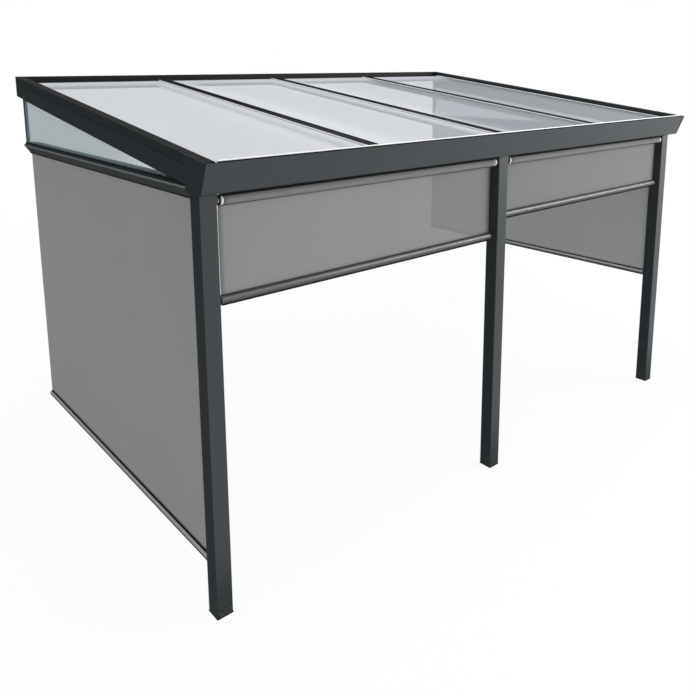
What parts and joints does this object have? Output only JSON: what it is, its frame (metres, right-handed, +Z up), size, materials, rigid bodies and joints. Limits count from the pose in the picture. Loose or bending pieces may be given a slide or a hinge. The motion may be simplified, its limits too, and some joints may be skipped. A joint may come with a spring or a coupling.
{
  "type": "lean-to patio cover with roller blinds",
  "caption": "Wall-mounted aluminium lean-to patio cover with multiwall polycarbonate roof, front gutter beam on posts, side wedges and grey roller blinds at the front and sides.",
  "frame": {"origin": "middle of the wall profile's flat back face, on the wall, half way along it; the ground is 2.61 m below", "axes": "+X along the wall to the right seen from the garden, +Y into the wall, +Z up"},
  "size_m": [4.38, 2.767, 2.68],
  "materials": {
    "frame": "satin powder coat, anthracite grey",
    "roof_sheet": "translucent multiwall polycarbonate",
    "wedge_sheet": "translucent multiwall polycarbonate, ribs upright",
    "end_strip": "mill finish",
    "foot": "mill finish",
    "bracket": "matt black",
    "roller": "satin grey",
    "bottom_bar": "satin grey",
    "front_fabric": "screen weave, mid grey",
    "side_fabric": "screen weave, mid grey"
  },
  "bodies": {
    "root": {"wall_profile": "frame", "side_rafter_left": "frame", "side_rafter_right": "frame", "side_cap_left": "frame", "side_cap_right": "frame", "rafter_left": "frame", "rafter_middle": "frame", "rafter_right": "frame", "rafter_cap_left": "frame", "rafter_cap_middle": "frame", "rafter_cap_right": "frame", "gutter": "frame", "gutter_end_left": "frame", "gutter_end_right": "frame", "post_left": "frame", "post_middle": "frame", "post_right": "frame", "side_rail_left": "frame", "side_rail_right": "frame", "wedge_frame_left": "frame", "wedge_frame_right": "frame", "roof_panel_1": "roof_sheet", "roof_panel_2": "roof_sheet", "roof_panel_3": "roof_sheet", "roof_panel_4": "roof_sheet", "wedge_panel_left": "wedge_sheet", "wedge_panel_right": "wedge_sheet", "panel_end_strips": "end_strip", "post_foot_left": "foot", "post_foot_middle": "foot", "post_foot_right": "foot", "roller_brackets_left": "bracket", "roller_brackets_right": "bracket", "front_roller_left": "roller", "front_roller_right": "roller", "side_roller_left": "roller", "side_roller_right": "roller", "front_bar_left": "bottom_bar", "front_bar_right": "bottom_bar", "side_bar_left": "bottom_bar", "side_bar_right": "bottom_bar", "front_fabric_left": "front_fabric", "front_fabric_right": "front_fabric", "side_fabric_left": "side_fabric", "side_fabric_right": "side_fabric"}
  },
  "joints": []
}
